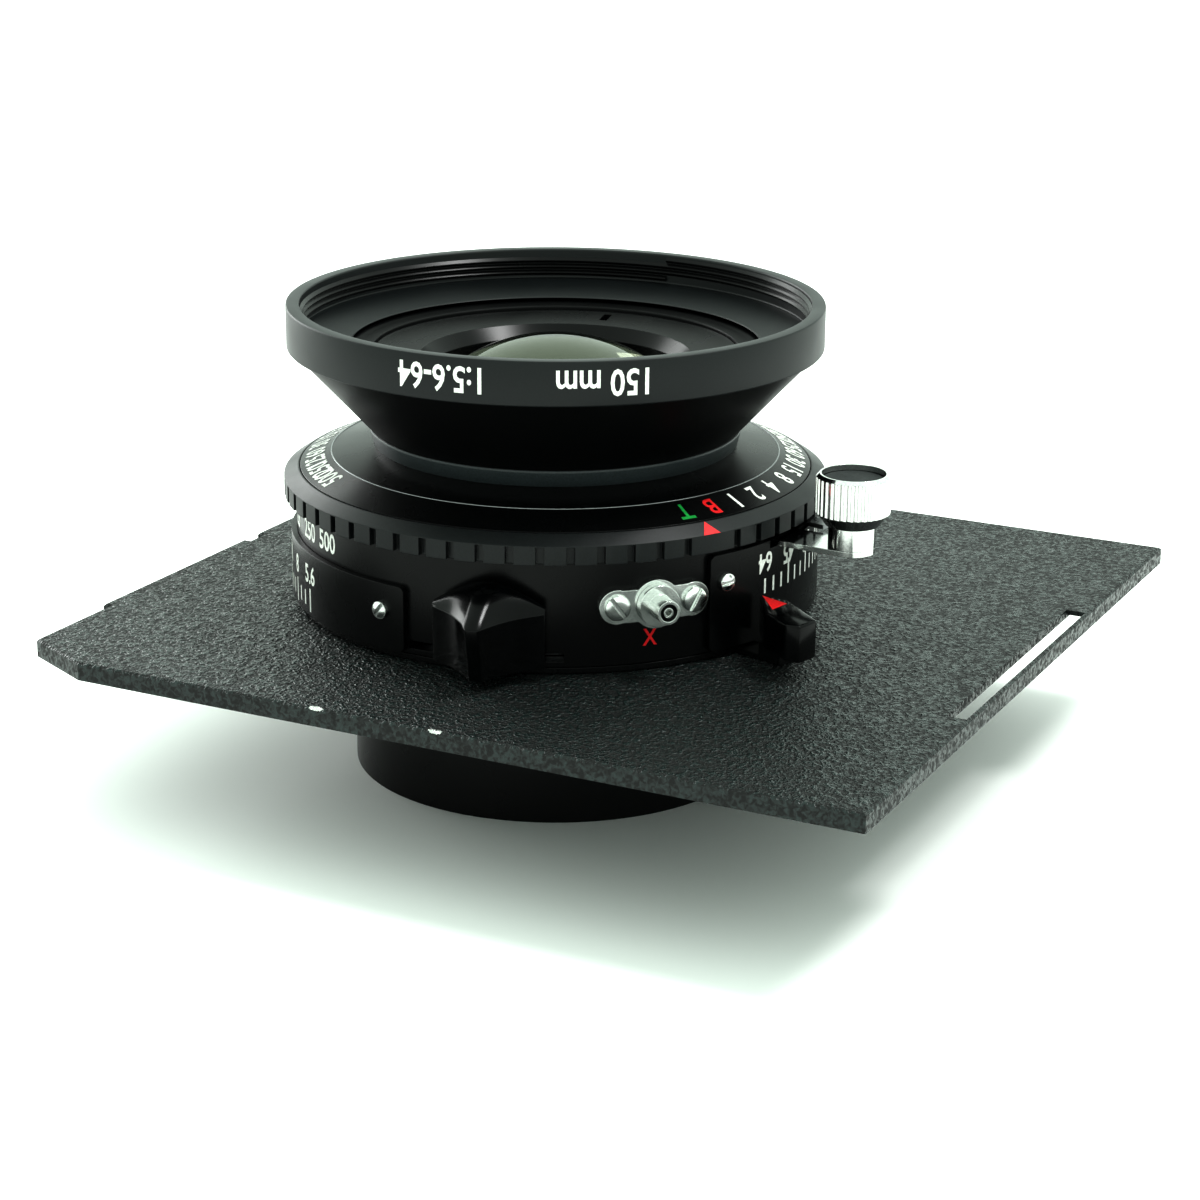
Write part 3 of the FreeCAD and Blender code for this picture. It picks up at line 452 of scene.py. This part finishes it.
speedScale = {"names": "1 2 4 8 15 30 60 125 250 500".split(), "first": -122.17, "pitch": 7.55,
              "radius": 27.25, "height": 35.82, "slope": 22.9, "high": 2.5}
whiteMarks, redMarks, greenMarks = bmesh.new(), bmesh.new(), bmesh.new()
for half in (0, 180):
    row = [("T", greenMarks), ("B", redMarks)] + [(figure, whiteMarks) for figure in speedScale["names"]]
    for i, (figure, target) in enumerate(row):
        angle = speedScale["first"] + half + i * speedScale["pitch"]
        addFigure(target, figure, speedScale["high"],
                  onCone(speedScale["radius"], angle, speedScale["height"], speedScale["slope"]))
piece("speed_figures", whiteMarks, whiteFill, "black_anodised", "mount")
piece("speed_bulb_figure", redMarks, redFill, "black_anodised", "mount")
piece("speed_time_figure", greenMarks, greenFill, "black_anodised", "mount")

plateRadius = 30.1
stops = "64 45 32 22 16 11 8 5.6".split()
apertureScale = {"first": -103.3, "pitch": 9, "third": 3, "high": 2.3, "figureHeight": 29.0,
                 "long": 2.9, "short": 1.7, "wide": 0.32, "strokeLow": 25.5}
rightMarks = bmesh.new()
for i, figure in enumerate(stops):
    angle = apertureScale["first"] + i * apertureScale["pitch"]
    addFigure(rightMarks, figure, apertureScale["high"],
              onWall(plateRadius, angle, apertureScale["figureHeight"], False))
for i in range(3 * (len(stops) - 1) + 1):
    angle = apertureScale["first"] + i * apertureScale["third"]
    long = apertureScale["long"] if i % 3 == 0 and i else apertureScale["short"]
    addStroke(rightMarks, apertureScale["wide"], long,
              onWall(plateRadius, angle, apertureScale["strokeLow"] + long / 2))
piece("aperture_figures_right", rightMarks, whiteFill, "black_anodised", "mount")

leftScale = {"first": 143.43, "pitch": -9, "third": -3, "high": 2.2, "height": 25.35, "strokeHeight": 22.35,
             "long": 2.7, "short": 1.7, "wide": 0.32}
leftMarks = bmesh.new()
for i, figure in enumerate(reversed(stops)):
    angle = leftScale["first"] + i * leftScale["pitch"]
    addFigure(leftMarks, figure, leftScale["high"], onWall(plateRadius, angle, leftScale["height"]))
for i in range(3 * (len(stops) - 1) + 1):
    angle = leftScale["first"] + i * leftScale["third"]
    long = leftScale["long"] if i % 3 == 0 else leftScale["short"]
    addStroke(leftMarks, leftScale["wide"], long, onWall(plateRadius, angle, leftScale["strokeHeight"]))
piece("aperture_figures_left", leftMarks, whiteFill, "black_anodised", "mount")

caseMarks = {"radius": 29.4, "high": 2.3, "height": 29.95, "flashHigh": 1.9, "flashAngle": -132.3,
             "flashHeight": 23.2, "figures": (("500", 149.7), ("250", 140.1), ("125", 128.3), ("60", 119.5))}
wallMarks = bmesh.new()
for figure, angle in caseMarks["figures"]:
    addFigure(wallMarks, figure, caseMarks["high"], onWall(caseMarks["radius"], angle, caseMarks["height"]))
piece("case_speed_figures", wallMarks, whiteFill, "black_anodised", "mount")
flashMark = bmesh.new()
addFigure(flashMark, "X", caseMarks["flashHigh"],
          onWall(caseMarks["radius"], caseMarks["flashAngle"], caseMarks["flashHeight"]))
piece("flash_mark", flashMark, redFill, "black_anodised", "mount")

rimMarks = bmesh.new()
rimFigures = {"figures": (("1:5.6-64", -176), ("150 mm", -143)), "high": 2.9, "height": hood["top"] - 2.3}
for figure, angle in rimFigures["figures"]:
    addFigure(rimMarks, figure, rimFigures["high"], onWall(hood["rim"], angle, rimFigures["height"], False))
piece("rim_figures", rimMarks, whiteFill, "black_anodised", "mount")

speedIndex = {"angle": -119.7, "half": 1.05, "crown": 29.2, "wall": 30.78, "top": 35.05, "shoulder": 34.05}
fallAngle = math.degrees(math.atan2(speedIndex["top"] - speedIndex["shoulder"],
                                    speedIndex["wall"] - speedIndex["crown"]))
middle = (speedIndex["crown"] + speedIndex["wall"]) / 2
reach = (speedIndex["wall"] - speedIndex["crown"]) / math.cos(math.radians(fallAngle)) / 2
height = (speedIndex["top"] + speedIndex["shoulder"]) / 2
indexMarks = bmesh.new()
for half in (0, 180):
    addTriangle(indexMarks, ((0, -reach), (speedIndex["half"], reach), (-speedIndex["half"], reach)),
                onCone(middle, speedIndex["angle"] + half, height, fallAngle))
piece("speed_index", indexMarks, redFill, "grey_anodised", "speed")
print("scales made")


# Aperture lever tip.
leverTip = {"outline": ((30.6, -106.1), (35.3, -113.0), (39.2, -114.4), (40.9, -113.7), (40.5, -109.4),
                        (33.9, -104.7)),
            "triangle": ((31.0, -106.2), (35.0, -111.0), (34.7, -106.7)), "top": 25.8, "low": 21.75,
            "edge": 0.3, "rim": 0.1, "proud": 0.03, "sunk": 0.2}


# An outline in plan, filled and carried down to a thickness.
def plateFrom(outline, top, low):
    bm = bmesh.new()
    corners = [bm.verts.new(point + Vector((0, 0, top * mm))) for point in outline]
    face = bm.faces.new(corners)
    moved = bmesh.ops.extrude_face_region(bm, geom=[face])["geom"]
    under = [item for item in moved if isinstance(item, bmesh.types.BMVert)]
    bmesh.ops.translate(bm, verts=under, vec=(0, 0, (low - top) * mm))
    return bm


tipMesh = plateFrom([polar(r, a) for r, a in leverTip["outline"]], leverTip["top"], leverTip["low"])
bmesh.ops.recalc_face_normals(tipMesh, faces=tipMesh.faces)
rimFrom = (leverTip["top"] - leverTip["rim"]) * mm
upper = [edge for edge in tipMesh.edges if max(v.co.z for v in edge.verts) > rimFrom]
bmesh.ops.bevel(tipMesh, geom=upper, offset=leverTip["edge"] * mm, segments=3, profile=0.5, affect="EDGES",
                material=-1)
tipPiece = piece("aperture_lever_handle", tipMesh, glossPlastic, "black_gloss_plastic", "aperture")
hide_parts("aperture_lever_tip")
pointMesh = plateFrom([polar(r, a) for r, a in leverTip["triangle"]],
                      leverTip["top"] + leverTip["proud"], leverTip["top"] - leverTip["sunk"])
piece("aperture_pointer", pointMesh, redFill, "black_gloss_plastic", "aperture")

# Cocking lever cap: a prow with two hollow faces under a roof that arches up to the case.
prow = {"corner": 31.6, "half": 11.2, "nose": 38.0, "noseAngle": -165.4, "noseHalf": 0.7, "hollow": 33.9,
        "hollowHalf": 4.7, "inner": 30.9, "top": 27.0, "low": 20.9, "tuck": 0.78, "edge": 0.32,
        "ridge": 30.1, "eave": 27.5, "steps": 5, "curve": 11, "swell": 0.8, "fullness": 1.6, "noseFrom": 35,
        "clear": 0.3, "tall": 4}


def cockingCap():
    middle = prow["noseAngle"]
    left, right = polar(prow["corner"], middle - prow["half"]), polar(prow["corner"], middle + prow["half"])
    across = polar(prow["noseHalf"], middle + 90)
    nose = polar(prow["nose"], middle)
    leftHollow, rightHollow = (polar(prow["hollow"], middle + side * prow["hollowHalf"]) for side in (-1, 1))
    front = interpolate_bezier(left, left.lerp(leftHollow, prow["swell"]), leftHollow, nose - across,
                               prow["curve"])
    front += interpolate_bezier(nose + across, rightHollow, right.lerp(rightHollow, prow["swell"]), right,
                                prow["curve"])
    bm = bmesh.new()
    rings = []
    for point in front:
        reach = Vector((point.x, point.y)).length / mm
        off = (math.degrees(math.atan2(point.y, point.x)) - middle + 180) % 360 - 180
        share = min(1, abs(off) / prow["half"])
        peak = prow["eave"] + (prow["ridge"] - prow["eave"]) * (1 - share ** prow["fullness"])
        tucked = prow["inner"] + (reach - prow["inner"]) * prow["tuck"]
        spots = [polar(tucked, middle + off, prow["low"])]
        for step in range(prow["steps"] + 1):
            along = step / prow["steps"]
            spots.append(polar(reach + (prow["inner"] - reach) * along, middle + off,
                               prow["top"] + (peak - prow["top"]) * math.sin(along * math.pi / 2)))
        spots.append(polar(prow["inner"], middle + off, prow["low"]))
        verts = [bm.verts.new(spot) for spot in spots]
        rings.append([bm.edges.new(pair) for pair in zip(verts, verts[1:] + verts[:1])])
    for here, there in zip(rings, rings[1:]):
        bmesh.ops.bridge_loops(bm, edges=here + there)
    bmesh.ops.holes_fill(bm, edges=[edge for edge in bm.edges if edge.is_boundary], sides=0)
    sharp = []
    for edge in bm.edges:
        reaches = [Vector((v.co.x, v.co.y)).length / mm for v in edge.verts]
        heights = [v.co.z / mm for v in edge.verts]
        lip = max(abs(height - prow["top"]) for height in heights) < 0.01
        upright = abs(heights[0] - heights[1]) > prow["tall"]
        ends = edge in rings[0] or edge in rings[-1] or min(reaches) > prow["noseFrom"]
        if min(reaches) > prow["inner"] + prow["clear"] and (lip or (upright and ends)):
            sharp.append(edge)
    bmesh.ops.recalc_face_normals(bm, faces=bm.faces)
    bmesh.ops.bevel(bm, geom=sharp, offset=prow["edge"] * mm, segments=4, profile=0.5, affect="EDGES",
                    material=-1, clamp_overlap=True)
    return bm


capPiece = piece("cocking_lever_prow", cockingCap(), glossPlastic, "black_gloss_plastic", "cocking", 40)
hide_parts("cocking_lever_cap")
print("levers made")

# Slotted screw heads: a low dome cut in two by its slot, on a disc that is the slot's floor.
screwHead = {"slot": 0.42, "deep": 0.3, "sink": 0.2, "disc": 0.98, "steps": 40,
             "plateTilts": (5, 20, 60, 160), "syncTilts": (125, 60),
             "domed": ((0, 1), (0.4, 0.95), (0.72, 0.76), (0.92, 0.42), (1, 0.1)),
             "flat": ((0, 1), (0.5, 0.99), (0.85, 0.94), (0.96, 0.8), (1, 0.5))}


def spunAboutOut(profile, steps):
    bm = bmesh.new()
    verts = [bm.verts.new((r * mm, 0, z * mm)) for r, z in profile]
    for first, second in zip(verts, verts[1:]):
        bm.edges.new((first, second))
    bmesh.ops.spin(bm, geom=bm.verts[:] + bm.edges[:], cent=(0, 0, 0), axis=(0, 0, 1), angle=math.tau,
                   steps=steps, use_merge=True)
    bmesh.ops.remove_doubles(bm, verts=bm.verts, dist=0.001 * mm)
    return bm


# How far out from the axis a CAD part reaches.
def nodeReach(node):
    return max(Vector((v.co.x, v.co.y)).length for v in nodes[node].data.vertices)


def slottedScrew(name, node, shape, seat, tilt):
    low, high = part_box(node)
    centre = (low + high) / 2
    angle = math.atan2(centre.y, centre.x)
    outward = Vector((math.cos(angle), math.sin(angle), 0))
    radius = (high.z - low.z) / 2 / mm
    out = (nodeReach(node) - seat * mm) / mm
    disc = radius * screwHead["disc"]
    bm = spunAboutOut([(0, out - screwHead["deep"]), (disc, out - screwHead["deep"]),
                       (disc, -screwHead["sink"]), (0, -screwHead["sink"])], screwHead["steps"])
    for side in (-1, 1):
        profile = [(radius * r, out * z) for r, z in screwHead[shape]]
        half = spunAboutOut(profile + [(radius, -screwHead["sink"]), (0, -screwHead["sink"])],
                            screwHead["steps"])
        bmesh.ops.bisect_plane(half, geom=half.verts[:] + half.edges[:] + half.faces[:],
                               plane_co=(0, side * screwHead["slot"] / 2 * mm, 0), plane_no=(0, side, 0),
                               clear_inner=True)
        bmesh.ops.holes_fill(half, edges=[edge for edge in half.edges if edge.is_boundary], sides=0)
        part = bpy.data.meshes.new("half")
        half.to_mesh(part)
        half.free()
        bm.from_mesh(part)
        bpy.data.meshes.remove(part)
    across = Vector((0, 0, 1)).cross(outward)
    facing = Matrix((across, Vector((0, 0, 1)), outward)).transposed().to_4x4()
    place = Matrix.Translation(outward * seat * mm + Vector((0, 0, centre.z)))
    bmesh.ops.transform(bm, matrix=place @ facing @ Matrix.Rotation(math.radians(tilt), 4, "Z"),
                        verts=bm.verts)
    made = piece(name, bm, satinNickel, "satin_nickel", "mount")
    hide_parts(node)


for number, tilt in enumerate(screwHead["plateTilts"], start=1):
    slottedScrew("slotted_plate_screw_%d" % number, "plate_screw_%d" % number, "domed", plateRadius, tilt)
for number, tilt in enumerate(screwHead["syncTilts"], start=1):
    slottedScrew("slotted_sync_screw_%d" % number, "sync_screw_%d" % number, "flat", plateRadius, tilt)

# CAD parts whose hard edges are broken a little.
broken = {"nodes": ("sync_plate", "sync_barrel", "socket_bracket"), "edge": 0.1, "segments": 2}
for name in broken["nodes"]:
    rounding = nodes[name].modifiers.new("edge", "BEVEL")
    rounding.width = broken["edge"] * mm
    rounding.segments = broken["segments"]
    rounding.limit_method = "ANGLE"
print("screws made")

# Floor, light and camera.
stage = {"floor": 3.0, "paper": "#f4f4f3", "sky": "#f2fff7", "contrast": 0.72, "glow": 1.65}
floorMesh = bpy.data.meshes.new("floor")
bm = bmesh.new()
bmesh.ops.create_grid(bm, x_segments=4, y_segments=4, size=stage["floor"])
bm.to_mesh(floorMesh)
bm.free()
floor = bpy.data.objects.new("floor", floorMesh)
bpy.context.scene.collection.objects.link(floor)
paper = newMaterial("white paper sweep", {
    "Base Color": stage["paper"], "Roughness": 0.75, "Specular IOR Level": 0.2})[0]
floor.data.materials.append(paper)

world = bpy.data.worlds.new("studio")
world.use_nodes = True
world.node_tree.nodes["Background"].inputs["Color"].default_value = linearColour(stage["sky"])
world.node_tree.nodes["Background"].inputs["Strength"].default_value = stage["glow"]
bpy.context.scene.world = world


# A square soft box that points at a spot.
def softLight(name, size, power, place, aim):
    data = bpy.data.lights.new(name, "AREA")
    data.shape = "SQUARE"
    data.size = size
    data.energy = power
    lamp = bpy.data.objects.new(name, data)
    lamp.location = place
    lamp.rotation_mode = "QUATERNION"
    lamp.rotation_quaternion = (Vector(aim) - Vector(place)).to_track_quat("-Z", "Y")
    bpy.context.scene.collection.objects.link(lamp)


# The overhead box makes the glints; the low one lights the floor under the board from behind.
softLight("overhead_box", 0.22, 5, (0.17, -0.34, 0.8), (0, 0, 0.03))
softLight("low_box", 0.4, 2.5, (0.2, 0.6, 0.22), (0, 0, 0.01))

viewpoint = {"place": (-279.28, -146.81, 121.77), "aim": (2.33, -4.62, 18.23), "roll": 0.436, "lens": 86.09}
cameraData = bpy.data.cameras.new("camera")
cameraData.lens = viewpoint["lens"]
cameraData.sensor_width = 36
cameraData.clip_start = 0.01
cameraData.clip_end = 20
camera = bpy.data.objects.new("camera", cameraData)
bpy.context.scene.collection.objects.link(camera)
eye, aim = Vector(viewpoint["place"]) * mm, Vector(viewpoint["aim"]) * mm
forward = (aim - eye).normalized()
right = forward.cross(Vector((0, 0, 1))).normalized()
right = Matrix.Rotation(math.radians(-viewpoint["roll"]), 3, forward) @ right
upward = right.cross(forward)
camera.matrix_world = Matrix((right, upward, -forward)).transposed().to_4x4()
camera.location = eye
bpy.context.scene.camera = camera
bpy.context.scene.view_settings.view_transform = "Standard"
bpy.context.scene.view_settings.gamma = stage["contrast"]
print("stage, light and camera made")
